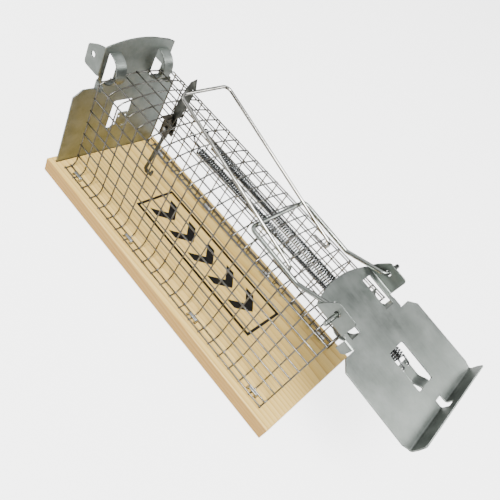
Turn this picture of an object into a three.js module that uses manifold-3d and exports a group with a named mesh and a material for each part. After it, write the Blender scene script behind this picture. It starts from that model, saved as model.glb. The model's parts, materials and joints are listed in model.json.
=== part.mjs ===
// Live-catch mouse trap: a welded wire tunnel on a pine board, a stamped plate at each end.
// The front plate is the door. It swings up on the tunnel's front wire and is held open by a
// wire frame, which a setting bail and a trigger lever keep down on the roof.
//
// Millimetres. Origin at the middle of the board's underside, +X to the door, +Y to the far
// side, +Z up. The trap is modelled set: door open, bail latched.
import * as THREE from 'three';
import { mergeVertices } from 'three/addons/utils/BufferGeometryUtils.js';
import Module from 'manifold-3d';

const wasm = await Module();
wasm.setup();

// ---- driving dimensions ----
const BOARD_LENGTH = 150;
const BOARD_WIDTH = 60;
const BOARD_THICKNESS = 7.5;
const BOARD_EDGE = 0.5;

const CELL = 6.35; // wire spacing of the welded mesh
const CELLS_ALONG = 21;
const CELLS_DOWN = 11; // wires on each side of the ridge, above the flange's edge
const MESH_WIRE = 0.6; // diameter
const WIRE_STEP = 2; // every second wire is modelled here
const FRONT_STRIP = 8.6; // bare board in front of the tunnel
const TUNNEL_HALF_WIDTH = 20.9;
const WALL_HEIGHT = 45.9; // board top to roof corner
const ROOF_RISE = 3.3; // roof corner to crown
const FLANGE_WIDTH = 5.5;
const FOOT_RADIUS = 2.4;
const PANEL_SPLIT = 1.4; // below the roof corner
const CORNER_RADIUS = 2.2;

const SHEET = 0.6; // thickness of the stamped plates
const PLATE_HALF_WIDTH = BOARD_WIDTH / 2 - 2.7;
const PLATE_SIDE = WALL_HEIGHT - 15.1; // height of the straight side
const PLATE_SHOULDER = WALL_HEIGHT - 11.8;
const SHOULDER_HALF_WIDTH = TUNNEL_HALF_WIDTH + 2.4;
const NECK_HALF_WIDTH = TUNNEL_HALF_WIDTH - 2.6;
const ARCH_CORNER = WALL_HEIGHT + 7.6;
const ARCH_TOP = WALL_HEIGHT + 11.1;
const WINDOW_HALF_WIDTH = 5.2;
const WINDOW_LOW = 9.3;
const WINDOW_HIGH = 25.2;
const SLOT_LOW = WALL_HEIGHT - 8.9;
const SLOT_HIGH = WALL_HEIGHT + 4.7;
const KNUCKLE_INNER = 1.59 * CELL; // between two wires of the mesh
const KNUCKLE_WIDTH = 0.787 * CELL;
const SLOT_CLEARANCE = 0.3;
const EAR_LOW = WALL_HEIGHT - 5.7;
const EAR_HEIGHT = 8.9;
const EAR_HOLE_V = WALL_HEIGHT + 0.9;
const EAR_HOLE_N = 5.05;
const TAB_LOW = WALL_HEIGHT - 11.5;
const TAB_HIGH = WALL_HEIGHT - 7.4;
const TAB_DEPTH = 5;
const FOOT_DEPTH = 6.4;
const FOOT_NOTCH = 4;

const HINGE_V = WALL_HEIGHT - 5.1; // height on the door plate of the wire it swings on
const PLATE_OFFSET = 2.2; // hinge wire to the middle of the door's sheet
const DOOR_DROOP = THREE.MathUtils.degToRad(4.5); // open door, below level
const REAR_PLATE_BACK = 5.05; // behind the last mesh wire
const REAR_FOLD_RISE = 5; // rear plate's fold line above the board
const GROOVE_DEPTH = 1.6;

const FRAME_WIRE = 1.8;
const FRAME_HALF_WIDTH = TUNNEL_HALF_WIDTH - 4.2;
const FRAME_PIN_END = NECK_HALF_WIDTH + 7.7;
const FRAME_BEND = { cells: 3.53, rise: 0.5 }; // cells behind the front, rise above the crown
const FRAME_BAR = { cells: 7.575, rise: 2.1 };

const BAIL_WIRE = 1.4;
const BAIL_HALF_WIDTH = TUNNEL_HALF_WIDTH - 7.9;
const BAIL_BAR = { cells: 15.984, rise: 16.4 };
const BAIL_PIVOT_CELL = 5; // the roof wire that the bail hooks on, counted from the front
const BAIL_HOOK_RISE = 1.6;
const BAIL_HOOK_FRONT = 1.5;
const BAIL_HOOK_BACK = 4;

const SPRING_RADIUS = 1.45;
const SPRING_WIRE = 0.5;
const SPRING_TURNS = 30;
const SPRING_SIDES = 6;
const SPRING_REAR = { cells: 14.08, y: 3.95, rise: -2.8 };
const SPRING_FRONT = { v: 22.5, y: 1.9, n: -2.1 };
const SPRING_ANCHOR_CELL = 15;
const TONGUE_DROP = 2.1;
const TONGUE_END = 19.8;
const TONGUE_HALF_WIDTH = 2.7;
const TONGUE_HOLE_V = 17.8;

const LEVER_Y = -CELL;
const LEVER_THICKNESS = 0.8;
const LEVER_PIVOT = { cells: 16.583, rise: -4.7 };
const LEVER_TIP = { cells: 16.126, rise: 21.7 };
const LEVER_DROP = 26; // pivot to bait hook
const LEVER_HALF_WIDTH = 2;
const LEVER_NECK = 0.95; // half-width where it passes the roof
const LEVER_PIN = 1.2;
const BRACKET_GAP = 1.5; // lever centre to a cheek's middle

const STAPLE_CELLS = [1, 7, 14, 20];
const STAPLE_CROWN = 4.6;
const STAPLE_DEPTH = 5;
const STAPLE_SECTION = { width: 1.1, thickness: 0.6 };

const CLEARANCE = 0.3;
const WIRE_SIDES = 8;

// ---- derived places ----
const BOARD_TOP = BOARD_THICKNESS;
const TUNNEL_FRONT = BOARD_LENGTH / 2 - FRONT_STRIP;
const TUNNEL_REAR = TUNNEL_FRONT - CELLS_ALONG * CELL;
const CROWN = BOARD_TOP + WALL_HEIGHT + ROOF_RISE;
const ROOF_RADIUS = (TUNNEL_HALF_WIDTH ** 2 + ROOF_RISE ** 2) / (2 * ROOF_RISE);
const KNUCKLE_MIDDLE = KNUCKLE_INNER + KNUCKLE_WIDTH / 2;
const HINGE = { x: TUNNEL_FRONT, z: roofHeight(KNUCKLE_MIDDLE) };

const REAR_PLATE_X = TUNNEL_REAR - REAR_PLATE_BACK;
const frameBend = overRoof(FRAME_BEND);
const frameBar = overRoof(FRAME_BAR);
const bailBar = overRoof(BAIL_BAR);
const leverPivot = overRoof(LEVER_PIVOT);
const leverTip = overRoof(LEVER_TIP);

function overRoof({ cells, rise }) {
  return { x: ringX(cells), z: CROWN + rise };
}

function roofHeight(y) {
  return CROWN - (ROOF_RADIUS - Math.sqrt(ROOF_RADIUS ** 2 - y * y));
}

function ringX(cell) {
  return TUNNEL_FRONT - cell * CELL;
}

// ---- materials ----
const pine = new THREE.MeshStandardMaterial({ color: 0xe3c58d, roughness: 0.65, metalness: 0 });
const galvanised = new THREE.MeshStandardMaterial({ color: 0xa9adab, roughness: 0.35, metalness: 0.9 });
const brightWire = new THREE.MeshStandardMaterial({ color: 0xb9bcb8, roughness: 0.25, metalness: 1 });
const meshWire = new THREE.MeshStandardMaterial({ color: 0x7f8583, roughness: 0.4, metalness: 0.9 });
const darkSteel = new THREE.MeshStandardMaterial({ color: 0x5b5d58, roughness: 0.5, metalness: 0.8 });

// ---- solids and booleans ----
function toSolid(geometry) {
  const bare = geometry.clone();
  bare.deleteAttribute('normal');
  bare.deleteAttribute('uv');
  const merged = mergeVertices(bare, 1e-5);
  return new wasm.Manifold(new wasm.Mesh({
    numProp: 3,
    vertProperties: new Float32Array(merged.attributes.position.array),
    triVerts: new Uint32Array(merged.index.array),
  }));
}

function toGeometry(solid) {
  const mesh = solid.getMesh();
  const geometry = new THREE.BufferGeometry();
  geometry.setAttribute('position', new THREE.BufferAttribute(mesh.vertProperties, 3));
  geometry.setIndex(new THREE.BufferAttribute(mesh.triVerts, 1));
  return geometry;
}

function join(geometries) {
  return geometries.map(toSolid).reduce((whole, piece) => whole.add(piece));
}

function named(name, geometry, material) {
  const mesh = new THREE.Mesh(geometry, material);
  mesh.name = name;
  return mesh;
}

function box(x0, x1, y0, y1, z0, z1) {
  const geometry = new THREE.BoxGeometry(x1 - x0, y1 - y0, z1 - z0);
  return geometry.translate((x0 + x1) / 2, (y0 + y1) / 2, (z0 + z1) / 2);
}

// ---- wire forms ----
// A path that goes through each listed point, one step from point to point.
class WirePath extends THREE.Curve {
  constructor(points) {
    super();
    this.points = points;
  }

  getPoint(t) {
    const place = t * (this.points.length - 1);
    const i = Math.min(Math.floor(place + 1e-9), this.points.length - 2);
    return this.points[i].clone().lerp(this.points[i + 1], place - i);
  }

  getTangent(t) {
    const i = Math.round(t * (this.points.length - 1));
    const before = this.points[Math.max(i - 1, 0)];
    const after = this.points[Math.min(i + 1, this.points.length - 1)];
    return after.clone().sub(before).normalize();
  }

  getPointAt(t) {
    return this.getPoint(t);
  }

  getTangentAt(t) {
    return this.getTangent(t);
  }
}

// Rounds each inner corner of a polyline with an arc-like bend of the given radius.
function rounded(corners, radius, steps = 3) {
  const points = [corners[0]];
  for (let i = 1; i < corners.length - 1; i += 1) {
    const back = corners[i - 1].clone().sub(corners[i]);
    const ahead = corners[i + 1].clone().sub(corners[i]);
    const turn = Math.PI - back.angleTo(ahead);
    const reach = Math.min(radius * Math.tan(turn / 2), back.length() * 0.45, ahead.length() * 0.45);
    const start = corners[i].clone().add(back.setLength(reach));
    const end = corners[i].clone().add(ahead.setLength(reach));
    const bend = new THREE.QuadraticBezierCurve3(start, corners[i], end);
    points.push(...bend.getPoints(steps));
  }
  points.push(corners[corners.length - 1]);
  return points;
}

function wire(points, diameter, sides = WIRE_SIDES) {
  const section = new THREE.Shape(ringOf(sides, diameter / 2));
  return new THREE.ExtrudeGeometry(section, {
    steps: points.length - 1,
    extrudePath: new WirePath(points),
  });
}

function ringOf(sides, radius) {
  return Array.from({ length: sides }, (_, i) => {
    const angle = (2 * Math.PI * (i + 0.5)) / sides;
    return new THREE.Vector2(radius * Math.cos(angle), radius * Math.sin(angle));
  });
}

function mirroredY(points) {
  return points.map((p) => new THREE.Vector3(p.x, -p.y, p.z)).reverse();
}

// ---- board ----
function boardOutline() {
  const x = BOARD_LENGTH / 2 - BOARD_EDGE;
  const y = BOARD_WIDTH / 2 - BOARD_EDGE;
  const shape = new THREE.Shape();
  shape.moveTo(-x, -y);
  shape.lineTo(x, -y);
  shape.lineTo(x, y);
  shape.lineTo(-x, y);
  return shape;
}

function stapleLegs(cell, side) {
  const y = side * (TUNNEL_HALF_WIDTH + FOOT_RADIUS + 0.8);
  return [-1, 1].map((end) => ({ x: ringX(cell) + (end * STAPLE_CROWN) / 2, y }));
}

function board() {
  const block = new THREE.ExtrudeGeometry(boardOutline(), {
    depth: BOARD_THICKNESS - 2 * BOARD_EDGE,
    bevelThickness: BOARD_EDGE,
    bevelSize: BOARD_EDGE,
    bevelSegments: 2,
  });
  block.translate(0, 0, BOARD_EDGE);
  const halfGroove = SHEET / 2 + CLEARANCE;
  const groove = box(REAR_PLATE_X - halfGroove, REAR_PLATE_X + halfGroove,
    -PLATE_HALF_WIDTH - CLEARANCE, PLATE_HALF_WIDTH + CLEARANCE,
    BOARD_TOP - GROOVE_DEPTH, BOARD_TOP + 1);
  let solid = toSolid(block).subtract(toSolid(groove));
  for (const cell of STAPLE_CELLS) {
    for (const side of [-1, 1]) {
      for (const leg of stapleLegs(cell, side)) {
        const x = STAPLE_SECTION.thickness / 2 + CLEARANCE;
        const y = STAPLE_SECTION.width / 2 + CLEARANCE;
        const hole = box(leg.x - x, leg.x + x, leg.y - y, leg.y + y,
          BOARD_TOP - STAPLE_DEPTH - CLEARANCE, BOARD_TOP + 1);
        solid = solid.subtract(toSolid(hole));
      }
    }
  }
  return toGeometry(solid);
}

function staple(cell, side) {
  const [rear, front] = stapleLegs(cell, side);
  const { width, thickness } = STAPLE_SECTION;
  const low = BOARD_TOP - STAPLE_DEPTH;
  const crown = BOARD_TOP + 0.1 + MESH_WIRE + CLEARANCE;
  const top = crown + thickness;
  const y0 = rear.y - width / 2;
  const y1 = rear.y + width / 2;
  const half = thickness / 2;
  return toGeometry(join([
    box(rear.x - half, front.x + half, y0, y1, crown, top),
    box(rear.x - half, rear.x + half, y0, y1, low, top),
    box(front.x - half, front.x + half, y0, y1, low, top),
  ]));
}

// ---- wire tunnel ----
// Half of the cross-section, from the flange's edge up the wall to the crown, as [y, z].
function halfSection() {
  const foot = BOARD_TOP + 0.1 + MESH_WIRE / 2;
  const corner = BOARD_TOP + WALL_HEIGHT;
  const bendStart = TUNNEL_HALF_WIDTH + FOOT_RADIUS;
  const section = [[bendStart + FLANGE_WIDTH - FOOT_RADIUS, foot], [bendStart, foot]];
  for (const turn of [0.25, 0.5]) {
    const angle = turn * Math.PI;
    section.push([bendStart - FOOT_RADIUS * Math.sin(angle), foot + FOOT_RADIUS * (1 - Math.cos(angle))]);
  }
  section.push([TUNNEL_HALF_WIDTH, corner - CORNER_RADIUS]);
  const shoulder = TUNNEL_HALF_WIDTH - CORNER_RADIUS;
  section.push([TUNNEL_HALF_WIDTH - CORNER_RADIUS * 0.3, roofHeight(shoulder) - CORNER_RADIUS * 0.55]);
  for (const y of [shoulder - 0.5, 11, 4]) {
    section.push([y, roofHeight(y)]);
  }
  return section;
}

function fullSection() {
  const half = halfSection();
  const other = half.map(([y, z]) => [-y, z]).reverse();
  return half.concat(other);
}

function ring(x) {
  const points = fullSection().map(([y, z]) => new THREE.Vector3(x, y, z));
  return wire(points, MESH_WIRE * Math.SQRT2, 4);
}

// The outer half of the section as a walk from the ridge down to the flange's edge.
function fromRidge() {
  const half = halfSection();
  return [...half, [0, half[half.length - 1][1]]].reverse();
}

function stepLengths(section) {
  return section.slice(1).map(([y, z], i) => Math.hypot(y - section[i][0], z - section[i][1]));
}

// A straight wire along X, the given distance round the section from the ridge.
function rail(distance, side) {
  const section = fromRidge();
  const lengths = stepLengths(section);
  let left = distance;
  let i = 0;
  while (i < lengths.length - 1 && left > lengths[i]) {
    left -= lengths[i];
    i += 1;
  }
  const along = Math.min(left / lengths[i], 1);
  const [y0, z0] = section[i];
  const [y1, z1] = section[i + 1];
  const thick = MESH_WIRE * 0.9;
  const bar = new THREE.BoxGeometry(CELLS_ALONG * CELL + MESH_WIRE, thick, thick);
  bar.rotateX(Math.atan2(z1 - z0, y1 - y0));
  bar.translate((TUNNEL_FRONT + TUNNEL_REAR) / 2, y0 + (y1 - y0) * along, z0 + (z1 - z0) * along);
  return side > 0 ? bar : bar.rotateZ(Math.PI).translate(TUNNEL_FRONT + TUNNEL_REAR, 0, 0);
}

function railDistances() {
  const distances = [];
  for (let i = 0; i < CELLS_DOWN; i += WIRE_STEP) {
    distances.push(CELL * (i + 0.5));
  }
  const whole = stepLengths(fromRidge()).reduce((sum, length) => sum + length, 0);
  distances.push(whole - MESH_WIRE / 2);
  return distances;
}

function wireTunnel() {
  const wires = [];
  for (let cell = 0; cell <= CELLS_ALONG; cell += 1) {
    if (cell === 0 || cell % WIRE_STEP === 1) {
      wires.push(ring(ringX(cell)));
    }
  }
  for (const distance of railDistances()) {
    wires.push(rail(distance, 1), rail(distance, -1));
  }
  return join(wires);
}

// The mesh is one bent sheet; here it is three panels, parted just under the roof's corners.
function meshPanels() {
  const mesh = wireTunnel();
  const split = BOARD_TOP + WALL_HEIGHT - PANEL_SPLIT;
  const reach = BOARD_LENGTH;
  const keep = (y0, y1, z0, z1) => toGeometry(mesh.intersect(toSolid(box(-reach, reach, y0, y1, z0, z1))));
  return {
    mesh_wall_near: keep(-BOARD_WIDTH, 0, 0, split - CLEARANCE),
    mesh_wall_far: keep(0, BOARD_WIDTH, 0, split - CLEARANCE),
    mesh_roof: keep(-BOARD_WIDTH, BOARD_WIDTH, split, 2 * CROWN),
  };
}

// ---- stamped plates ----
// Plate frame: x across (u), y up from the foot's fold (v), z outwards (n).
function sheetOutline(straightFoot) {
  const low = straightFoot ? -FOOT_DEPTH : 0;
  const half = PLATE_HALF_WIDTH;
  const side = [
    [half, low], [half, PLATE_SIDE], [SHOULDER_HALF_WIDTH, PLATE_SHOULDER],
    [NECK_HALF_WIDTH + 0.3, PLATE_SHOULDER], [NECK_HALF_WIDTH + 0.3, ARCH_CORNER],
  ];
  const shape = new THREE.Shape(side.map(([u, v]) => new THREE.Vector2(u, v)));
  for (const step of [0.66, 0.33, 0, -0.33, -0.66]) {
    shape.lineTo(step * NECK_HALF_WIDTH, ARCH_TOP - (ARCH_TOP - ARCH_CORNER) * step * step);
  }
  for (const [u, v] of [...side].reverse()) {
    shape.lineTo(-u, v);
  }
  return shape;
}

function cutThrough(solid, u0, u1, v0, v1) {
  return solid.subtract(toSolid(box(Math.min(u0, u1), Math.max(u0, u1), v0, v1, -1, 1)));
}

function flatSheet(straightFoot) {
  const sheet = new THREE.ExtrudeGeometry(sheetOutline(straightFoot), { depth: SHEET, bevelEnabled: false });
  let solid = toSolid(sheet.translate(0, 0, -SHEET / 2));
  solid = cutThrough(solid, -WINDOW_HALF_WIDTH, WINDOW_HALF_WIDTH, WINDOW_LOW, WINDOW_HIGH);
  for (const sign of [-1, 1]) {
    const inner = KNUCKLE_INNER - SLOT_CLEARANCE;
    const outer = KNUCKLE_INNER + KNUCKLE_WIDTH + SLOT_CLEARANCE;
    solid = cutThrough(solid, sign * inner, sign * outer, SLOT_LOW, SLOT_HIGH);
  }
  return solid;
}

// Extrudes an outline drawn in (v, n) across the plate, from u0 to u1.
function acrossPlate(outline, u0, u1, holes = []) {
  const shape = new THREE.Shape(outline.map(([v, n]) => new THREE.Vector2(v, n)));
  shape.holes.push(...holes);
  const bar = new THREE.ExtrudeGeometry(shape, { depth: u1 - u0, bevelEnabled: false });
  const turn = new THREE.Matrix4().makeBasis(
    new THREE.Vector3(0, 1, 0), new THREE.Vector3(0, 0, 1), new THREE.Vector3(1, 0, 0));
  return bar.applyMatrix4(turn).translate(u0, 0, 0);
}

function ear(sign) {
  const top = EAR_HEIGHT;
  const outline = [
    [EAR_LOW, 0], [ARCH_CORNER, 0], [ARCH_CORNER - 0.4, 1.6], [EAR_LOW + 8.9, top],
    [EAR_LOW + 1.2, top], [EAR_LOW, top - 1.2],
  ];
  const hole = new THREE.Path().absarc(EAR_HOLE_V, EAR_HOLE_N, FRAME_WIRE / 2 + CLEARANCE, 0, 2 * Math.PI, true);
  const middle = sign * NECK_HALF_WIDTH;
  return acrossPlate(outline, middle - SHEET / 2, middle + SHEET / 2, [holeOf(hole)]);
}

function holeOf(path) {
  return new THREE.Path(path.getPoints(6).slice(0, -1));
}

function sideTab(sign) {
  const middle = sign * NECK_HALF_WIDTH;
  const outline = [[TAB_LOW, 0], [TAB_LOW + 1, -TAB_DEPTH], [TAB_HIGH, -TAB_DEPTH], [TAB_HIGH, 0]];
  return acrossPlate([...outline].reverse(), middle - SHEET / 2, middle + SHEET / 2);
}

// A strip bowed inwards out of its slot, as part of an ellipse, from turn0 to turn1.
function knuckle(sign, centre, reachV, reachN, turn0, turn1) {
  const steps = 9;
  const inner = [];
  const outer = [];
  for (let i = 0; i <= steps; i += 1) {
    const turn = turn0 + ((turn1 - turn0) * i) / steps;
    const v = Math.cos(turn);
    const n = Math.sin(turn);
    inner.push([centre + (reachV - SHEET) * v, -(reachN - SHEET) * n]);
    outer.push([centre + reachV * v, -reachN * n]);
  }
  const [u0, u1] = [sign * KNUCKLE_INNER, sign * (KNUCKLE_INNER + KNUCKLE_WIDTH)].sort((a, b) => a - b);
  return acrossPlate([...outer, ...inner.reverse()], u0, u1);
}

function knuckleRoot(sign, low, high) {
  const [u0, u1] = [sign * KNUCKLE_INNER, sign * (KNUCKLE_INNER + KNUCKLE_WIDTH)].sort((a, b) => a - b);
  return box(u0, u1, low, high, -SHEET / 2, SHEET / 2);
}

function foot() {
  const slope = Math.sin(THREE.MathUtils.degToRad(8));
  const outline = [
    [0, -SHEET / 2], [SHEET, -SHEET / 2], [SHEET - FOOT_DEPTH * slope, FOOT_DEPTH],
    [-FOOT_DEPTH * slope, FOOT_DEPTH],
  ];
  const strip = toSolid(acrossPlate(outline, -PLATE_HALF_WIDTH + 1, PLATE_HALF_WIDTH - 1));
  const notch = box(-FOOT_NOTCH / 2, FOOT_NOTCH / 2, -2, 1, 0.8, FOOT_DEPTH * 0.55);
  return strip.subtract(toSolid(notch));
}

function tongue() {
  const half = SHEET / 2;
  const bend = WINDOW_LOW + 3.6;
  const outline = [
    [WINDOW_LOW - 0.5, half], [WINDOW_LOW + 0.4, half], [bend, half - TONGUE_DROP],
    [TONGUE_END, half - TONGUE_DROP], [TONGUE_END, -half - TONGUE_DROP],
    [bend - 0.2, -half - TONGUE_DROP], [WINDOW_LOW + 0.2, -half], [WINDOW_LOW - 0.5, -half],
  ];
  let strip = toSolid(acrossPlate([...outline].reverse(), -TONGUE_HALF_WIDTH, TONGUE_HALF_WIDTH));
  for (const sign of [-1, 1]) {
    const u = sign * SPRING_FRONT.y;
    const reach = SPRING_WIRE / 2 + CLEARANCE;
    const hole = box(u - reach, u + reach, TONGUE_HOLE_V - reach, TONGUE_HOLE_V + reach, -5, 1);
    strip = strip.subtract(toSolid(hole));
  }
  return strip;
}

function commonPlate(straightFoot) {
  let solid = flatSheet(straightFoot).add(tongue());
  for (const sign of [-1, 1]) {
    solid = solid.add(toSolid(ear(sign))).add(toSolid(sideTab(sign)));
  }
  return solid;
}

function doorPlate() {
  let solid = commonPlate(false).add(foot());
  const low = SLOT_LOW + SHEET;
  const centre = HINGE_V + 0.5;
  for (const sign of [-1, 1]) {
    const curl = knuckle(sign, centre, centre - low + SHEET, 4.8, 0.08 * Math.PI, Math.PI);
    solid = solid.add(toSolid(curl)).add(toSolid(knuckleRoot(sign, SLOT_LOW - 0.5, low)));
  }
  return toGeometry(solid);
}

function rearPlate() {
  let solid = commonPlate(true);
  const centre = (SLOT_LOW + SLOT_HIGH) / 2;
  for (const sign of [-1, 1]) {
    const bow = knuckle(sign, centre, centre - SLOT_LOW + 0.05, 7, 0, Math.PI);
    solid = solid.add(toSolid(bow));
    for (const [low, high] of [[SLOT_LOW - 0.5, SLOT_LOW + SHEET], [SLOT_HIGH - SHEET, SLOT_HIGH + 0.5]]) {
      solid = solid.add(toSolid(knuckleRoot(sign, low, high)));
    }
  }
  return toGeometry(solid);
}

const doorUp = new THREE.Vector3(-Math.cos(DOOR_DROOP), 0, Math.sin(DOOR_DROOP));
const doorOut = new THREE.Vector3(Math.sin(DOOR_DROOP), 0, Math.cos(DOOR_DROOP));
const doorOrigin = new THREE.Vector3(HINGE.x, 0, HINGE.z)
  .addScaledVector(doorOut, PLATE_OFFSET)
  .addScaledVector(doorUp, -HINGE_V);

// A point given in the open door's plate frame, in the object's frame.
function onDoor(u, v, n) {
  return doorOrigin.clone().addScaledVector(doorUp, v).addScaledVector(doorOut, n).setY(u);
}

function plateGroup(mesh, up, out, origin) {
  const group = new THREE.Group();
  const across = up.clone().cross(out);
  group.setRotationFromMatrix(new THREE.Matrix4().makeBasis(across, up, out));
  group.position.copy(origin);
  group.add(mesh);
  return group;
}

// ---- closing frame and setting bail ----
function closingFrame() {
  const pin = onDoor(0, EAR_HOLE_V, EAR_HOLE_N);
  const half = [
    new THREE.Vector3(pin.x, FRAME_PIN_END, pin.z),
    new THREE.Vector3(pin.x, FRAME_HALF_WIDTH, pin.z),
    new THREE.Vector3(frameBend.x, FRAME_HALF_WIDTH, frameBend.z),
    new THREE.Vector3(frameBar.x, FRAME_HALF_WIDTH, frameBar.z),
  ];
  return wire(rounded([...half, ...mirroredY(half)], 2), FRAME_WIRE);
}

function settingBail() {
  const pivotX = ringX(BAIL_PIVOT_CELL);
  const pivotZ = roofHeight(BAIL_HALF_WIDTH);
  const front = pivotX + BAIL_HOOK_FRONT;
  const leg = [new THREE.Vector3(pivotX - BAIL_HOOK_BACK, BAIL_HALF_WIDTH, pivotZ - BAIL_HOOK_RISE)];
  for (let i = 0; i <= 6; i += 1) {
    const angle = Math.PI * (i / 6 - 0.5);
    leg.push(new THREE.Vector3(
      front + BAIL_HOOK_RISE * Math.cos(angle), BAIL_HALF_WIDTH, pivotZ + BAIL_HOOK_RISE * Math.sin(angle)));
  }
  const bar = new THREE.Vector3(bailBar.x, BAIL_HALF_WIDTH, bailBar.z);
  const top = rounded([leg[leg.length - 1], bar, new THREE.Vector3(bailBar.x, 0, bailBar.z)], 2.4);
  const half = [...leg, ...top.slice(1, -1)];
  return wire([...half, ...mirroredY(half)], BAIL_WIRE);
}

// ---- springs ----
function spring(sign) {
  const front = onDoor(sign * SPRING_FRONT.y, SPRING_FRONT.v, SPRING_FRONT.n);
  const rear = new THREE.Vector3(ringX(SPRING_REAR.cells), sign * SPRING_REAR.y, CROWN + SPRING_REAR.rise);
  const anchor = ringX(SPRING_ANCHOR_CELL);
  const overWire = roofHeight(SPRING_REAR.y) + MESH_WIRE / 2 + CLEARANCE + SPRING_WIRE / 2;
  const clear = MESH_WIRE / 2 + CLEARANCE + SPRING_WIRE / 2;
  const points = [
    new THREE.Vector3(anchor - clear, rear.y, overWire - 2.2 * clear),
    new THREE.Vector3(anchor - clear, rear.y, overWire - 0.4 * clear),
    new THREE.Vector3(anchor, rear.y, overWire),
    new THREE.Vector3(anchor + clear, rear.y, overWire - 0.4 * clear),
    new THREE.Vector3(anchor + clear + 0.6, rear.y, rear.z + SPRING_RADIUS),
  ];
  const count = SPRING_TURNS * SPRING_SIDES;
  for (let i = 0; i <= count; i += 1) {
    const angle = (2 * Math.PI * i) / SPRING_SIDES;
    const middle = rear.clone().lerp(front, i / count);
    middle.y += SPRING_RADIUS * Math.sin(angle);
    middle.z += SPRING_RADIUS * Math.cos(angle);
    points.push(middle);
  }
  const over = -TONGUE_DROP + SHEET / 2 + CLEARANCE + SPRING_WIRE / 2;
  points.push(onDoor(front.y, TONGUE_HOLE_V + 0.8, over + 0.3));
  points.push(onDoor(front.y, TONGUE_HOLE_V, over - 0.1));
  points.push(onDoor(front.y, TONGUE_HOLE_V, -TONGUE_DROP - 1.4));
  return wire(points, SPRING_WIRE, 4);
}

// ---- trigger ----
// Outline in (x, z): a leaf above the pivot, notched for the bail, a thin stem below and a bait hook.
function leverOutline() {
  const slope = (leverTip.x - leverPivot.x) / (leverTip.z - leverPivot.z);
  const middle = (z) => leverPivot.x + slope * (z - leverPivot.z);
  const roof = CROWN + 1.4;
  const reach = BAIL_WIRE / 2 + CLEARANCE;
  const notch = bailBar.z;
  const foot = leverPivot.z - LEVER_DROP;
  const outline = [[leverTip.x, leverTip.z]];
  outline.push([middle(notch + 2.6) - 1.5, notch + 2.6], [middle(notch - 3) - LEVER_HALF_WIDTH, notch - 3]);
  outline.push([middle(roof + 3) - LEVER_HALF_WIDTH, roof + 3], [middle(roof) - LEVER_NECK, roof]);
  outline.push([middle(leverPivot.z + 1.5) - LEVER_NECK, leverPivot.z + 1.5]);
  outline.push([leverPivot.x - 1.4, leverPivot.z], [middle(leverPivot.z - 3) - 0.7, leverPivot.z - 3]);
  outline.push([middle(foot) - 0.7, foot], [middle(foot) + 0.6, foot - 1.4], [middle(foot) + 4.4, foot - 0.6]);
  outline.push([middle(foot) + 4.6, foot + 2.4], [middle(foot) + 3.5, foot + 2.4]);
  outline.push([middle(foot) + 3.3, foot + 0.5], [middle(foot) + 0.8, foot + 0.8]);
  outline.push([middle(leverPivot.z - 3) + 0.7, leverPivot.z - 3], [leverPivot.x + 1.4, leverPivot.z]);
  outline.push([middle(leverPivot.z + 1.5) + LEVER_NECK, leverPivot.z + 1.5]);
  outline.push([middle(roof) + LEVER_NECK, roof], [middle(roof + 3) + LEVER_HALF_WIDTH, roof + 3]);
  outline.push([middle(notch) + LEVER_HALF_WIDTH, notch - 1.6], [bailBar.x + 0.2, notch - reach]);
  outline.push([bailBar.x - 0.6, notch - reach * 0.8], [bailBar.x - reach, notch]);
  outline.push([bailBar.x - 0.6, notch + reach * 0.8], [bailBar.x + 0.7, notch + reach]);
  outline.push([middle(notch + 2.6) + 1.3, notch + 2.6]);
  return outline.map(([x, z]) => new THREE.Vector2(x, z));
}

// Extrudes an outline drawn in (x, z) through a thickness in y about the lever's middle plane.
function upright(outline, middleY, thickness, holes = []) {
  const shape = new THREE.Shape(outline);
  shape.holes.push(...holes);
  const slab = new THREE.ExtrudeGeometry(shape, { depth: thickness, bevelEnabled: false });
  return slab.rotateX(Math.PI / 2).translate(0, middleY + thickness / 2, 0);
}

function pinHole(diameter) {
  const reach = diameter / 2 + CLEARANCE;
  return holeOf(new THREE.Path().absarc(leverPivot.x, leverPivot.z, reach, 0, 2 * Math.PI, true));
}

function triggerLever() {
  return upright(leverOutline(), LEVER_Y, LEVER_THICKNESS, [pinHole(LEVER_PIN * 0.5)]);
}

function triggerBracket() {
  const x0 = leverPivot.x - 2.6;
  const x1 = leverPivot.x + 1.9;
  const low = leverPivot.z - 3.6;
  const outside = Math.abs(LEVER_Y) - BRACKET_GAP - CELL / 2;
  const shelf = CROWN + MESH_WIRE / 2 + CLEARANCE;
  const neck = leverPivot.x - 1.7;
  const cheek = [[x0, low], [x1, low], [x1, leverPivot.z + 1.8], [neck + 2.6, shelf + SHEET], [neck, shelf + SHEET],
    [x0, leverPivot.z + 1.8]].map(([x, z]) => new THREE.Vector2(x, z));
  const parts = [];
  for (const sign of [-1, 1]) {
    const middle = LEVER_Y + sign * BRACKET_GAP;
    parts.push(upright(cheek, middle, SHEET, [pinHole(LEVER_PIN)]));
    const far = middle + sign * (outside + 1.6);
    const [y0, y1] = [middle, far].sort((a, b) => a - b);
    parts.push(box(neck, neck + 2.6, y0, y1, shelf, shelf + SHEET));
  }
  parts.push(box(x0, x0 + SHEET, LEVER_Y - BRACKET_GAP, LEVER_Y + BRACKET_GAP, low, leverPivot.z + 1.8));
  return toGeometry(join(parts));
}

function triggerPin() {
  const half = BRACKET_GAP + SHEET / 2 + 0.7;
  const pin = [-1, 1].map((sign) => new THREE.Vector3(leverPivot.x, LEVER_Y + sign * half, leverPivot.z));
  const shaft = wire([pin[0], pin[1]], LEVER_PIN * 0.5, 12);
  const heads = pin.map((end) => {
    const head = new THREE.CylinderGeometry(LEVER_PIN * 0.8, LEVER_PIN * 0.8, 0.4, 12);
    return head.translate(end.x, end.y, end.z);
  });
  return toGeometry(join([shaft, ...heads]));
}

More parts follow.
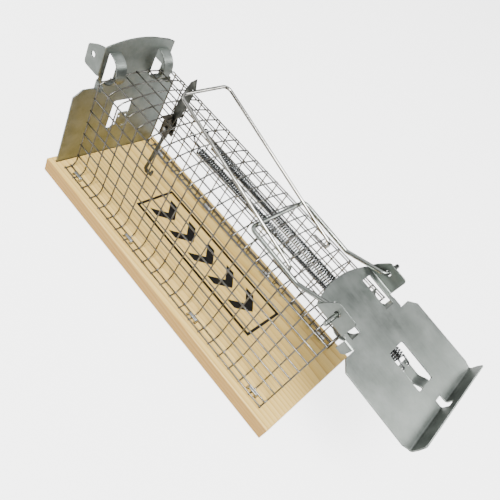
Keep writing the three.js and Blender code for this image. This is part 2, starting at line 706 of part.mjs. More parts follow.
// ---- assembly ----
const trap = new THREE.Group();
trap.add(named('board', board(), pine));
for (const [name, panel] of Object.entries(meshPanels())) {
  trap.add(named(name, panel, meshWire));
}
for (const [label, side] of [['near', -1], ['far', 1]]) {
  STAPLE_CELLS.forEach((cell, i) => {
    trap.add(named(`staple_${label}_${i + 1}`, staple(cell, side), galvanised));
  });
  trap.add(named(`spring_${label}`, spring(side), brightWire));
}
trap.add(plateGroup(
  named('rear_plate', rearPlate(), galvanised),
  new THREE.Vector3(0, 0, 1), new THREE.Vector3(-1, 0, 0),
  new THREE.Vector3(REAR_PLATE_X, 0, BOARD_TOP + REAR_FOLD_RISE)));
trap.add(plateGroup(named('door_plate', doorPlate(), galvanised), doorUp, doorOut, doorOrigin));
trap.add(named('closing_frame', closingFrame(), brightWire));
trap.add(named('setting_bail', settingBail(), brightWire));
trap.add(named('trigger_lever', triggerLever(), galvanised));
trap.add(named('trigger_bracket', triggerBracket(), darkSteel));
trap.add(named('trigger_pin', triggerPin(), brightWire));

export default trap;
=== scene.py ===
# %% [markdown]
# # A live-catch mouse trap
# A tunnel of welded wire mesh is stapled to a pine board, with a stamped zinc-plated plate at
# each end. The front plate is the door, held open by bent wires until the bait lever lets go.
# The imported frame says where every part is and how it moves. Here each part gets its real
# surface: round wire, sheet with rolled bends, close-wound springs, sawn pine.

# %% Load the frame
import json
import math

import bmesh
import bpy
import numpy as np
from mathutils import Matrix, Vector


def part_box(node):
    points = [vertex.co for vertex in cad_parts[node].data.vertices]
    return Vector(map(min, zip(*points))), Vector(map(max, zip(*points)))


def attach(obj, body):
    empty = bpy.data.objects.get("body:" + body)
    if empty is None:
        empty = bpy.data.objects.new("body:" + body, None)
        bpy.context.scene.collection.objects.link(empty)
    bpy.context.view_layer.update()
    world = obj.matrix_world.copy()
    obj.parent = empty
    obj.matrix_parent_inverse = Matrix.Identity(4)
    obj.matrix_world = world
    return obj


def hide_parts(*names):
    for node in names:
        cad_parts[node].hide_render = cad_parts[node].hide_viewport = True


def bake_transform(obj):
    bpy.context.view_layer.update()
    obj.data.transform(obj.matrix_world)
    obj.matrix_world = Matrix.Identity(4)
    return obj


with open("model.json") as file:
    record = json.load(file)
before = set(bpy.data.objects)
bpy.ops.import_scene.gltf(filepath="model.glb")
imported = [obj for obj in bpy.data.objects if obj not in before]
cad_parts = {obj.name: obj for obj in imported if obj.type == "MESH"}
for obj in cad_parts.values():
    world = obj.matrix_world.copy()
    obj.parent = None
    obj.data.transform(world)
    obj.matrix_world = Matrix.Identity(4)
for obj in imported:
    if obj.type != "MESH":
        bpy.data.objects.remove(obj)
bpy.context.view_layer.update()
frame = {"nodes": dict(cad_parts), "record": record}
MM = 0.001
JOINT = {j["name"]: np.array(j["pos_m"]) / MM for j in frame["record"]["behaviour"]["joints"]}


def box_mm(node):
    """The low and high corners of a CAD node's box, in millimetres."""
    return [np.array(corner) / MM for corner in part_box(node)]


BOARD_LOW, BOARD_HIGH = box_mm("board")
BOARD_TOP = BOARD_HIGH[2]

# %% [markdown]
# Materials are node trees. One helper adds a node: inputs that are sockets become links, and
# other inputs become values. Colours are written as hex and turned from sRGB to linear light.

# %% Node helpers
def linear(hex_colour):
    """Linear RGBA from sRGB hex: each channel goes through the sRGB decoding curve."""
    channels = [int(hex_colour[i:i + 2], 16) / 255 for i in (1, 3, 5)]
    decoded = [c / 12.92 if c <= 0.04045 else ((c + 0.055) / 1.055) ** 2.4 for c in channels]
    return (*decoded, 1.0)


def set_inputs(tree, node, inputs):
    """Links each input that is given a socket, and sets each one that is given a value."""
    for name, value in inputs.items():
        if isinstance(value, bpy.types.NodeSocket):
            tree.links.new(value, node.inputs[name])
        else:
            node.inputs[name].default_value = value


def add(tree, kind, inputs=None, **settings):
    """Adds a node of a kind to a tree, with settings on the node and values or links on inputs."""
    node = tree.nodes.new(kind)
    for name, value in settings.items():
        setattr(node, name, value)
    set_inputs(tree, node, inputs or {})
    return node


def new_material(name):
    """An empty principled material: itself, its tree and its shader."""
    material = bpy.data.materials.new(name)
    material.use_nodes = True
    tree = material.node_tree
    return material, tree, tree.nodes["Principled BSDF"]


print("mid grey #808080 is", round(linear("#808080")[0], 3), "in linear light")

# %% [markdown]
# The materials below are built from a few steps that repeat: a place on the piece, noise of a
# real size in millimetres, a range for it, a mix of two colours, and a bump of a real depth.

# %% Steps that materials share
def object_place(tree):
    """The point being shaded, in the piece's own directions."""
    return add(tree, "ShaderNodeTexCoord").outputs["Object"]


def mapped(tree, place, **inputs):
    """A place that is moved, turned and scaled."""
    return add(tree, "ShaderNodeMapping", {"Vector": place, **inputs}).outputs["Vector"]


def noise(tree, place, size, detail, roughness=0.5):
    """Smooth noise whose features are about size millimetres across."""
    return add(tree, "ShaderNodeTexNoise", {
        "Vector": place, "Scale": 1 / (size * MM), "Detail": detail, "Roughness": roughness,
    }).outputs["Fac"]


def spread(tree, value, low, high, from_low=0.3, from_high=0.7):
    """Maps a value, by default noise from 0.3 to 0.7, onto low to high."""
    return add(tree, "ShaderNodeMapRange", {
        "Value": value, "From Min": from_low, "From Max": from_high,
        "To Min": low, "To Max": high,
    }).outputs["Result"]


def maths(tree, operation, *values):
    """The result of one operation on values or sockets."""
    return add(tree, "ShaderNodeMath", dict(enumerate(values)), operation=operation).outputs[0]


def blend_colours(tree, factor, first, second):
    """Mixes two colours, each a hex string or a socket."""
    first, second = (linear(c) if isinstance(c, str) else c for c in (first, second))
    # the mix node's inputs 6 and 7 and its output 2 are the ones that carry colour
    mix = add(tree, "ShaderNodeMix", {0: factor, 6: first, 7: second}, data_type="RGBA")
    return mix.outputs[2]


def bump(tree, height, strength, depth, under=None):
    """A bumped normal of depth millimetres, laid over the bump under it if there is one."""
    inputs = {"Height": height, "Strength": strength, "Distance": depth * MM}
    if under is not None:
        inputs["Normal"] = under
    return add(tree, "ShaderNodeBump", inputs).outputs["Normal"]


# %% [markdown]
# Zinc-plated steel sheet: rolled steel that is stamped, bent, then electroplated. The plating
# is a soft silver grey with cloudy patches a few millimetres across, faint rolling lines along
# the strip, and handling marks that change the gloss more than the colour.

# %% Zinc-plated sheet
DOOR_TILT = math.radians(4.5)  # how far the open door stands from level


def zinc_plated_sheet():
    material, tree, shader = new_material("zinc_plated_sheet_steel")
    place = object_place(tree)
    cloud = noise(tree, place, 9, 4.0, 0.6)
    along = mapped(tree, place, Rotation=(0, DOOR_TILT, 0), Scale=(0.05, 1, 0.6))
    rolling = noise(tree, along, 0.7, 3.0)
    stain = noise(tree, place, 22, 2.0)
    base = blend_colours(tree, spread(tree, cloud, 0, 1), "#6C726D", "#989D98")
    base = blend_colours(tree, spread(tree, stain, 0, 0.6), base, "#666C67")
    base = blend_colours(tree, spread(tree, rolling, 0, 0.12), base, "#A9ADA7")
    gloss = maths(tree, "ADD", spread(tree, cloud, 0.34, 0.5), spread(tree, rolling, -0.04, 0.06))
    lines = bump(tree, rolling, 0.04, 0.03)
    set_inputs(tree, shader, {
        "Base Color": base, "Roughness": gloss, "Metallic": 1.0,
        "Normal": bump(tree, stain, 0.4, 0.8, lines)})
    return material


ZINC = zinc_plated_sheet()
print(ZINC.name)

# %% [markdown]
# Every wire here is drawn steel with a metallic finish. Drawing leaves fine lines along the
# wire that are too small to see, so only the colour and gloss wander slowly along it.

# %% Drawn wire finishes
def drawn_wire(name, dark, light, rough_low, rough_high, patch=5):
    """Metal whose colour and roughness wander over patches of the given size in mm."""
    material, tree, shader = new_material(name)
    cloud = noise(tree, object_place(tree), patch, 3.0)
    set_inputs(tree, shader, {
        "Base Color": blend_colours(tree, spread(tree, cloud, 0, 1), dark, light),
        "Roughness": spread(tree, cloud, rough_high, rough_low), "Metallic": 1.0})
    return material


MESH_ZINC = drawn_wire("galvanised_mesh_wire", "#4E4D48", "#7D7B76", 0.22, 0.36)
BAIL_NICKEL = drawn_wire("bright_nickel_wire", "#8E8D87", "#B2B1AB", 0.12, 0.22)
FRAME_ZINC = drawn_wire("zinc_plated_wire", "#7C807B", "#9EA29C", 0.2, 0.32)
SPRING_STEEL = drawn_wire("plated_spring_wire", "#4A4C4C", "#787A7A", 0.16, 0.28, 2)
STAPLE_ZINC = drawn_wire("galvanised_staple_wire", "#B9BCBC", "#D9DBDB", 0.25, 0.4, 2)
LEVER_STEEL = drawn_wire("dull_stamped_steel", "#393A36", "#5E5F59", 0.28, 0.42, 3)
BRACKET_STEEL = drawn_wire("dark_stamped_steel", "#35322C", "#58544B", 0.3, 0.46, 3)
print("metals", len(bpy.data.materials))

# %% [markdown]
# The board is pine, sawn and sanded, with no finish. Growth rings are shells round the trunk's
# heart, so the colour is a function of distance from a heart line far below the board. Cut
# along the trunk the shells show as long lines, and on the end as arcs: one rule gives all
# faces. Each ring fades slowly from pale early wood and ends at a sharper darker late line.
# The upright sides are painted browner than the planed top: painted shade on the faces that turn
# away from the light above.

# %% Growth rings
RING_SPACING = 1.4
RING_SWAY = 9  # how far a ring strays from its circle
HEART = (0.0, 46.0, -66.0)
RING_COLOURS = ((0.0, "#DEC072"), (0.5, "#D8B865"), (0.84, "#C9A552"), (0.94, "#AE863E"),
                (1.0, "#DCBE70"))


def growth_rings(tree, place, wander):
    """Phase and colour of the rings: the fraction of (distance from heart + sway) / spacing."""
    sway = noise(tree, wander, 30, 2.0)
    radial = mapped(tree, place, Location=tuple(-c * MM for c in HEART))
    flat = add(tree, "ShaderNodeVectorMath", {0: radial, 1: (0.02, 1, 1)}, operation="MULTIPLY")
    reach = add(tree, "ShaderNodeVectorMath", {0: flat.outputs[0]}, operation="LENGTH")
    shifted = maths(tree, "MULTIPLY_ADD", sway, RING_SWAY * MM, reach.outputs["Value"])
    phase = maths(tree, "FRACT", maths(tree, "MULTIPLY", shifted, 1 / (RING_SPACING * MM)))
    ring = add(tree, "ShaderNodeValToRGB", {"Fac": phase})
    stops = ring.color_ramp.elements
    while len(stops) < len(RING_COLOURS):
        stops.new(0.5)
    for stop, (position, colour) in zip(stops, RING_COLOURS):
        stop.position = position
        stop.color = linear(colour)
    return phase, ring.outputs["Color"]


print("growth rings", RING_SPACING, "mm apart")

# %% Sawn pine
def sawn_pine():
    material, tree, shader = new_material("sanded_pine_board")
    place = object_place(tree)
    wander = mapped(tree, place, Scale=(0.12, 1, 1))
    phase, colour = growth_rings(tree, place, wander)
    fibre = noise(tree, mapped(tree, place, Scale=(0.03, 1, 1)), 0.5, 3.0, 0.65)
    tone = noise(tree, wander, 16, 1.0)
    colour = blend_colours(tree, spread(tree, fibre, 0.4, 0), colour, "#A88140")
    colour = blend_colours(tree, spread(tree, tone, 0.25, 0), colour, "#C6A253")
    normal = add(tree, "ShaderNodeNewGeometry").outputs["Normal"]
    facing = add(tree, "ShaderNodeSeparateXYZ", {"Vector": normal}).outputs["Z"]
    # painted shade: faces that stand upright are mixed half way towards a darker brown
    upright_side_shade = spread(tree, maths(tree, "ABSOLUTE", facing), 0.5, 0.0, 0.2, 0.9)
    grain = bump(tree, fibre, 0.35, 0.12)
    set_inputs(tree, shader, {
        "Base Color": blend_colours(tree, upright_side_shade, colour, "#A06A32"),
        "Roughness": spread(tree, fibre, 0.72, 0.55),
        "Normal": bump(tree, phase, 0.15, 0.08, grain)})
    return material


board = frame["nodes"]["board"]
board.data.materials.clear()
board.data.materials.append(sawn_pine())
print("board", np.round(BOARD_HIGH - BOARD_LOW, 2))

# %% [markdown]
# All new pieces are arrays of points and faces. A piece's mesh holds its real place, so its
# object stays at the origin, and the piece then rides the body of the CAD node that it stands for.

# %% Making a piece
def grid_faces(rows, columns, closed=False):
    """Quads of a grid of rows by columns, numbered row by row; closed joins the last column on."""
    last = columns if closed else columns - 1
    r, c = np.meshgrid(np.arange(rows - 1), np.arange(last), indexing="ij")
    after = (c + 1) % columns
    quads = np.stack([r * columns + c, r * columns + after,
                      (r + 1) * columns + after, (r + 1) * columns + c])
    return quads.reshape(4, -1).T.tolist()


def in_scene(name, data):
    """A new object in the scene that holds a mesh, a light or a camera."""
    obj = bpy.data.objects.new(name, data)
    bpy.context.scene.collection.objects.link(obj)
    return obj


def finished(name, mesh, material, body, nodes, smooth):
    """An object with one material that rides a body and stands for CAD nodes."""
    mesh.polygons.foreach_set("use_smooth", np.full(len(mesh.polygons), smooth))
    mesh.materials.clear()
    mesh.materials.append(material)
    obj = in_scene(name, mesh)
    if body:
        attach(obj, body)
    if nodes:
        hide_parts(*nodes)
    print(name, len(mesh.vertices), "points")
    return obj


def piece(name, points, faces, material, body, nodes=(), slot=None, smooth=True):
    """A mesh object from points in mm and faces, riding a body in place of CAD nodes."""
    mesh = bpy.data.meshes.new(name)
    mesh.from_pydata((np.asarray(points) * MM).tolist(), [], faces)
    mesh.validate()
    return finished(name, mesh, material, body, nodes, smooth)


def ease_edges(obj, width, angle, harden=True):
    """A bevel of width mm on the edges that turn by more than an angle in degrees."""
    bevel = obj.modifiers.new("eased_edges", "BEVEL")
    bevel.width = width * MM
    bevel.segments = 2
    bevel.limit_method = "ANGLE"
    bevel.angle_limit = math.radians(angle)
    bevel.harden_normals = harden


# %% [markdown]
# A wire is a circle carried along a line. At each station the circle lies across the line's
# direction. To keep it from twisting, each station's side direction is the one before it with
# the part along the new direction taken away, which is parallel transport.

# %% Wire along a path
DOME_ANGLES = np.radians([80, 50, 20])  # rings of the domed ends, from the tip inwards
DOME_DEPTH = 0.2  # of the wire's diameter


def unit(vectors):
    """Vectors scaled to length one along the last axis."""
    return vectors / np.linalg.norm(vectors, axis=-1, keepdims=True)


def carried_sides(along):
    """Side directions: each is the previous one made square to the next tangent."""
    start = np.eye(3)[np.argmin(np.abs(along[0]))]
    sides = [unit(start - along[0] * (start @ along[0]))]
    for direction in along[1:]:
        sides.append(unit(sides[-1] - direction * (sides[-1] @ direction)))
    return np.array(sides)


def wire(path, diameter, sides=12):
    """Points and faces of a round wire: path + r (cos a * side + sin a * other), domed ends."""
    path = np.asarray(path, float)
    along = unit(np.gradient(path, axis=0))
    side = carried_sides(along)
    other = np.cross(along, side)
    dome = len(DOME_ANGLES)
    ends = np.sin(DOME_ANGLES)[:, None] * diameter * DOME_DEPTH
    narrow = np.cos(DOME_ANGLES) * diameter / 2
    radius = np.hstack([narrow, np.full(len(path), diameter / 2), narrow[::-1]])
    path = np.vstack([path[0] - along[0] * ends, path, path[-1] + along[-1] * ends[::-1]])
    side, other = (np.pad(v, ((dome, dome), (0, 0)), mode="edge") for v in (side, other))
    angle = np.linspace(0, 2 * np.pi, sides, endpoint=False)[None, :, None]
    ring = np.cos(angle) * side[:, None] + np.sin(angle) * other[:, None]
    points = (path[:, None] + radius[:, None, None] * ring).reshape(-1, 3)
    last = (len(path) - 1) * sides
    caps = [list(range(sides))[::-1], list(range(last, last + sides))]
    return points, grid_faces(len(path), sides, closed=True) + caps


def rounded(corners, radius, steps=8):
    """A path whose inner corners are curves: (1-t)^2 start + 2t(1-t) corner + t^2 end."""
    corners = np.asarray(corners, float)
    t = np.linspace(0, 1, steps)[:, None]
    path = [corners[:1]]
    for before, corner, after in zip(corners, corners[1:], corners[2:]):
        back, ahead = before - corner, after - corner
        turn = np.pi - np.arccos(np.clip(unit(back) @ unit(ahead), -1, 1))
        room = 0.48 * min(np.linalg.norm(back), np.linalg.norm(ahead))
        reach = min(radius * np.tan(turn / 2), room)
        start, end = corner + unit(back) * reach, corner + unit(ahead) * reach
        path.append((1 - t) ** 2 * start + 2 * t * (1 - t) * corner + t ** 2 * end)
    path.append(corners[-1:])
    return np.vstack(path)


def joined(parts):
    """Several (points, faces) as one, with the later faces renumbered."""
    points, faces, count = [], [], 0
    for part_points, part_faces in parts:
        points.append(part_points)
        faces += [[i + count for i in face] for face in part_faces]
        count += len(part_points)
    return np.vstack(points), faces


# %% [markdown]
# The tunnel is hardware cloth: straight wires one way, and wires across them the other way,
# spot welded where they touch and sunk into each other a little. The sheet is bent over a
# former into a tunnel with two foot flanges. The crosswise wires are all the same bent path,
# so one is made and copied along X as an array. The lengthwise wires lie inside it, evenly
# spaced round the section from the ridge down, with one more at each flange's edge.

# %% Tunnel section
CELL = 6.35
MESH_WIRE = 0.62
CELLS_ALONG = 21
WIRES_DOWN = 11
FRONT_X = JOINT["door_swing"][0]
HALF_WIDTH = 20.9
ROOF_CORNER = 53.4
ROOF_RISE = 3.3
CORNER_BEND = 2.0  # radius between the roof and a wall
FLANGE_EDGE = 26.4
FLANGE_LIFT = 0.3  # gap between the board and the flange's wires
FOOT_BEND = 3.6
SUNK = 0.17  # how far each wire is from the sheet's middle
OVERHANG = 0.35  # how far the lengthwise wires pass the end wires
ROOF_RADIUS = (HALF_WIDTH ** 2 + ROOF_RISE ** 2) / (2 * ROOF_RISE)


def roof_height(y):
    """Height of the roof's arc: crown less the drop of a circle at distance y."""
    return ROOF_CORNER + ROOF_RISE - ROOF_RADIUS + np.sqrt(ROOF_RADIUS ** 2 - np.square(y))


def half_section(rise):
    """Section from the ridge to the flange's edge, moved outwards by a rise."""
    foot = BOARD_TOP + FLANGE_LIFT + MESH_WIRE / 2
    y = np.linspace(0, HALF_WIDTH - 1.8, 14)
    roof = np.stack([y, roof_height(y)], 1)
    turn = np.radians([20, 45, 70])
    corner = np.stack([HALF_WIDTH + CORNER_BEND * (np.sin(turn) - 1),
                       ROOF_CORNER - 1.6 + CORNER_BEND * np.cos(turn) * 0.9], 1)
    wall_z = np.linspace(ROOF_CORNER - 2, foot + FOOT_BEND + 2, 10)
    wall = np.stack([np.full(10, HALF_WIDTH), wall_z], 1)
    bow = np.radians([0, 15, 30, 45, 60, 75])
    bend = np.stack([HALF_WIDTH + FOOT_BEND * (1 - np.cos(bow)),
                     foot + FOOT_BEND * (1 - np.sin(bow))], 1)
    flange = np.stack([np.linspace(HALF_WIDTH + FOOT_BEND, FLANGE_EDGE, 4), np.full(4, foot)], 1)
    line = np.vstack([roof, corner, wall, bend, flange])
    across = unit(np.gradient(line, axis=0)) @ np.array([[0, -1], [1, 0]])
    return line + across * rise


print("tunnel", round(CELL * CELLS_ALONG, 1), "long and", 2 * HALF_WIDTH, "wide")

# %% Wire mesh tunnel
def crosswise_wires():
    """One wire bent over the section and its mirror, copied to every cell's edge."""
    half = half_section(SUNK)
    whole = np.vstack([half[::-1] * (-1, 1), half[1:]])
    points, faces = wire(np.column_stack([np.zeros(len(whole)), whole]), MESH_WIRE, 8)
    return [(points + (FRONT_X - CELL * i, 0, 0), faces) for i in range(CELLS_ALONG + 1)]


def lengthwise_wires():
    """Straight wires at even distances round the section, on both sides of the ridge."""
    inner = half_section(-SUNK)
    steps = np.linalg.norm(np.diff(inner, axis=0), axis=1)
    distance = np.hstack([0, np.cumsum(steps)])
    places = np.hstack([CELL * (np.arange(WIRES_DOWN) + 0.5), distance[-1] - MESH_WIRE / 2])
    y, z = (np.interp(places, distance, inner[:, i]) for i in (0, 1))
    x = np.linspace(FRONT_X + OVERHANG, FRONT_X - CELL * CELLS_ALONG - OVERHANG, 12)
    return [wire(np.column_stack([x, np.full(12, side * rail_y), np.full(12, rail_z)]),
                 MESH_WIRE, 8)
            for side in (-1, 1) for rail_y, rail_z in zip(y, z)]


piece("welded_wire_mesh", *joined(crosswise_wires() + lengthwise_wires()), MESH_ZINC, "base",
      ("mesh_wall_near", "mesh_wall_far", "mesh_roof"), "mesh_wire")


# %% [markdown]
# Sheet parts are drawn flat and folded, as a press does it. A flat pattern is a grid of
# straight lines with its openings left out. Strips and ears are small patches whose edges meet
# the grid's points, so that merging the points makes one skin. Solidify then gives the sheet
# its thickness and a small Bevel takes the sharpness off the cut edges. Places on a plate are
# (u, v, n): across it, up it from the fold at its foot, and out of its outer face.

# %% Plate dimensions
SHEET = 0.6
WALL = ROOF_CORNER - BOARD_TOP
PLATE_HALF = 27.3
SHOULDER_HALF = HALF_WIDTH + 2.4
NECK = HALF_WIDTH - 2.6
FOLD = 0.8  # radius of a fold, to the sheet's middle
FLAT_NECK = NECK - FOLD
ARCH_TOP, ARCH_DROP = WALL + 11.1, 3.5
EAR_LOW, EAR_HIGH = WALL - 5.7, WALL + 7.6
EAR_REACH = 8.9
EAR_HOLE, EAR_HOLE_RADIUS = (WALL + 0.9, 5.05), 1.2
TAB_LOW, TAB_HIGH = WALL - 11.5, WALL - 7.4
SLOT_LOW, SLOT_HIGH = WALL - 8.9, WALL + 4.7
STRIP_INNER, STRIP_OUTER, SLOT_GAP = 10.1, 15.1, 0.3
SHOULDER, SIDE = WALL - 11.8, WALL - 15.1
WINDOW_LOW, WINDOW_HIGH, WINDOW_HALF, WINDOW_ROUND = 9.3, 25.2, 5.2, 1.0
TONGUE_HALF, TONGUE_DROP = 2.7, 2.1
PIERCE_INNER, PIERCE_OUTER = 1.4, 2.4  # the tongue's spring holes, across
HINGE_V = WALL - 5.1  # where the door's strips go round the mesh wire
HINGE_OFFSET = 2.2  # from that wire to the middle of the door's sheet
print("plate", 2 * PLATE_HALF, "wide and", round(ARCH_TOP, 2), "tall above its fold")

# %% Patches of sheet
def patch(grid):
    """Points and faces of a grid of (u, v, n) places, rows first."""
    rows, columns = grid.shape[:2]
    return grid.reshape(-1, 3), grid_faces(rows, columns)


def ribbon(profile, u0, u1):
    """A strip of sheet between u0 and u1 that follows a profile in (v, n)."""
    grid = np.empty((len(profile), 2, 3))
    grid[..., 0] = (u0, u1)
    grid[..., 1:] = profile[:, None]
    return patch(grid)


def fillet(u, v, du, dv, steps=5):
    """The small web that rounds an inner corner: corner + s (arc - corner), a quarter circle."""
    a = np.linspace(0, np.pi / 2, steps)
    arc = np.column_stack([u + du * (1 - np.sin(a)), v + dv * (1 - np.cos(a)), np.zeros(steps)])
    return np.vstack([[u, v, 0.0], arc]), [[0, i, i + 1] for i in range(1, steps)]


# %% [markdown]
# The flat sheet of both plates: wide below, a neck with an arched top above, slots where the
# bowed strips are pressed out, and a window with a tongue. The door's foot is folded outwards
# as a grip; the rear plate's foot goes straight down into a saw groove in the board.

# %% Flat sheet with its foot
U_LINES = (PIERCE_INNER, PIERCE_OUTER, TONGUE_HALF, 4.2, WINDOW_HALF, 7.4,
           STRIP_INNER - SLOT_GAP, STRIP_INNER, STRIP_OUTER, STRIP_OUTER + SLOT_GAP,
           FLAT_NECK, SHOULDER_HALF, PLATE_HALF)
ARCH_ROWS = (EAR_LOW, 42.5, 45, 47.5, SLOT_HIGH, EAR_HIGH)
PLATE_ROWS = (3.4, WINDOW_LOW, WINDOW_LOW + WINDOW_ROUND, WINDOW_HIGH - WINDOW_ROUND,
              WINDOW_HIGH, SIDE, SHOULDER, TAB_LOW, SLOT_LOW, TAB_HIGH, *ARCH_ROWS)
FOOT_TURN = math.radians(82)
FOOT_LEG = (5.3, 5.0, 2.6, 1.2)  # rows of the door's foot, measured from its fold
REAR_FOOT = ((-6.3, 0.0), (-3.0, 0.0))
FOOT_HALF = (24.6, 25.6, 26.3)  # half-widths at the foot's tip, its next row and the rest
FOOT_HOLE = (-PIERCE_INNER, PIERCE_OUTER)  # across; it lies a little off the middle


def folded_foot():
    """(v, n) of the door foot's rows, tip first: a straight leg, then an arc into the plate."""
    turn = np.linspace(FOOT_TURN, 0, 7)
    start = 0.3 + np.tan(FOOT_TURN / 2)
    arc = np.column_stack([start - np.sin(turn), 1 - np.cos(turn)])
    away = np.array([-math.cos(FOOT_TURN), math.sin(FOOT_TURN)])
    return np.vstack([arc[0] + away * np.array(FOOT_LEG)[:, None], arc])


def flat_sheet(folded):
    """The plate without ears and strips: a grid of u and v lines less its openings."""
    u = np.array([-x for x in U_LINES[::-1]] + [0.0, *U_LINES])
    foot = folded_foot() if folded else np.array(REAR_FOOT)
    first, shoulder = len(foot), len(foot) + PLATE_ROWS.index(SHOULDER)
    line = np.vstack([foot, [(v, 0.0) for v in PLATE_ROWS]])
    grid = np.zeros((len(line) + 1, len(u), 3))
    grid[..., 0] = u
    grid[:-1, :, 1:] = line[:, None]
    grid[-1, :, 1] = ARCH_TOP - ARCH_DROP * np.square(np.minimum(np.abs(u), FLAT_NECK) / NECK)
    edge = np.abs(u) == PLATE_HALF
    if folded:
        for rows, half in zip((0, 1, slice(2, first)), FOOT_HALF):
            grid[rows, edge, 0] = np.sign(u[edge]) * half
    grid[shoulder, edge, 0] = np.sign(u[edge]) * SHOULDER_HALF
    v = np.hstack([line[:, 0], ARCH_TOP])
    row, column = np.meshgrid(np.arange(len(line)), np.arange(len(u) - 1), indexing="ij")
    across = (np.abs(u[column]) + np.abs(u[column + 1])) / 2
    up = (v[row] + v[row + 1]) / 2
    window = (across < WINDOW_HALF) & (up > WINDOW_LOW) & (up < WINDOW_HIGH) & (row >= first)
    slots = (across > STRIP_INNER - SLOT_GAP) & (across < STRIP_OUTER + SLOT_GAP)
    slots &= (up > SLOT_LOW) & (up < SLOT_HIGH)
    beside_neck = (across > FLAT_NECK) & (row >= shoulder)
    keep = ~(window | slots | beside_neck)
    if folded:
        foot_hole = (u[column] >= FOOT_HOLE[0]) & (u[column + 1] <= FOOT_HOLE[1])
        keep &= ~(foot_hole & (row >= 2) & (row < first))
    points, faces = patch(grid)
    return points, [face for face, kept in zip(faces, keep.ravel()) if kept]


print("flat sheet", len(flat_sheet(True)[1]), "cells with the door's foot")

# %% [markdown]
# The ears are folded outwards at the neck and carry the closing wire's pins. The ear's flat
# is a band between its round hole and its outline, so the hole is truly round. The side tabs
# are folded inwards below the ears and keep the plate centred on the tunnel.

# %% Ears and tabs
QUARTER = np.linspace(0, np.pi / 2, 5)
EAR_RIM = ((EAR_HIGH - 0.4, 1.8), (52.2, 4.0), (50.6, 6.6), (49.4, 8.5), (48.6, EAR_REACH),
           (47.0, EAR_REACH), (44.0, EAR_REACH), (41.4, EAR_REACH), (40.6, 8.5),
           (EAR_LOW, 7.7), (EAR_LOW, 5.0), (EAR_LOW, 2.6))


def ear(sign):
    """A quarter-round fold and a flat ear: the flat's points run hole + t (outline - hole)."""
    fold = np.empty((len(QUARTER), len(ARCH_ROWS), 3))
    fold[..., 0] = sign * (FLAT_NECK + FOLD * np.sin(QUARTER))[:, None]
    fold[..., 1] = ARCH_ROWS
    fold[..., 2] = (FOLD * (1 - np.cos(QUARTER)))[:, None]
    outline = np.array([(v, FOLD) for v in ARCH_ROWS] + list(EAR_RIM))
    hole = EAR_HOLE + unit(outline - EAR_HOLE) * EAR_HOLE_RADIUS
    t = np.linspace(1, 0, 4)[:, None, None]
    band = hole + t * (outline - hole)
    band = np.concatenate([band, band[:, :1]], 1)
    flat = np.empty((*band.shape[:2], 3))
    flat[..., 0] = sign * NECK
    flat[..., 1:] = band
    return [patch(fold), patch(flat)]


def tab(sign):
    """A side tab folded inwards, with its lower corner cut off."""
    u = np.hstack([FLAT_NECK + FOLD * np.sin(QUARTER), NECK, NECK])
    n = -np.hstack([FOLD * (1 - np.cos(QUARTER)), 3.6, 5.0])
    low = TAB_LOW + np.hstack([np.zeros(5), 0.4, 1.4])
    grid = np.empty((7, 3, 3))
    grid[..., 0] = sign * u[:, None]
    grid[..., 1] = np.column_stack([low, np.maximum(low, SLOT_LOW), np.full(7, TAB_HIGH)])
    grid[..., 2] = n[:, None]
    return patch(grid)


print("ear", sum(len(faces) for points, faces in ear(1)), "cells")

# %% Bowed strips and tongue
HINGE_STRIP = (HINGE_V + 0.5, 4.0, 4.5, 0.08 * np.pi)  # centre, reach up, reach in, end angle
REAR_STRIP = ((SLOT_LOW + SLOT_HIGH) / 2, 6.8, 6.7, 0)
TONGUE_RAMP = 4.0  # length of its bend


def bowed_strip(sign, centre, reach_v, reach_n, end):
    """Half an ellipse bowed inwards from the slot's lower edge, from pi down to the end angle."""
    a = np.linspace(np.pi, end, 22)
    profile = np.column_stack([centre + reach_v * np.cos(a), -reach_n * np.sin(a)])
    profile[0] = (SLOT_LOW, 0)
    if end == 0:
        profile[-1] = (SLOT_HIGH, 0)
    return ribbon(profile, sign * STRIP_INNER, sign * STRIP_OUTER)


def tongue():
    """A tongue bent in from the window's lower edge by a smooth step, pierced for the springs."""
    v = np.hstack([np.linspace(WINDOW_LOW, 13.5, 10), 17.2, 18.4, 19.8])
    t = np.clip((v - WINDOW_LOW) / TONGUE_RAMP, 0, 1)
    u = np.array([-TONGUE_HALF, -PIERCE_OUTER, -PIERCE_INNER, 0,
                  PIERCE_INNER, PIERCE_OUTER, TONGUE_HALF])
    grid = np.empty((len(v), len(u), 3))
    grid[..., 0] = u
    grid[..., 1] = v[:, None]
    grid[..., 2] = (-TONGUE_DROP * t * t * (3 - 2 * t))[:, None]
    grid[-1, [0, -1], 1] -= 0.5
    points, faces = patch(grid)
    pierced_row = 10 * (len(u) - 1)
    return points, [f for i, f in enumerate(faces) if i - pierced_row not in (1, 4)]


print("tongue", len(tongue()[1]), "cells, with two holes")

# %% [markdown]
# A stamped plate gathers its flat and its folds, and places them by origin + u across + v up
# + n out. Then the points that meet are merged and the sheet gets its thickness.

# %% Stamped plates
def stamped_plate(name, folded, origin, up, out, body, node):
    """All patches of a plate as one piece, given its origin and two of its directions."""
    parts = [flat_sheet(folded), tongue()]
    for sign in (-1, 1):
        parts += [*ear(sign), tab(sign)]
        parts.append(bowed_strip(sign, *(HINGE_STRIP if folded else REAR_STRIP)))
        for v, dv in ((WINDOW_LOW, WINDOW_ROUND), (WINDOW_HIGH, -WINDOW_ROUND)):
            parts.append(fillet(sign * WINDOW_HALF, v, -sign * WINDOW_ROUND, dv))
    points, faces = joined(parts)
    placed = origin + points @ np.array([np.cross(up, out), up, out])
    thicken(piece(name, placed, faces, ZINC, body, (node,), "zinc_sheet"))


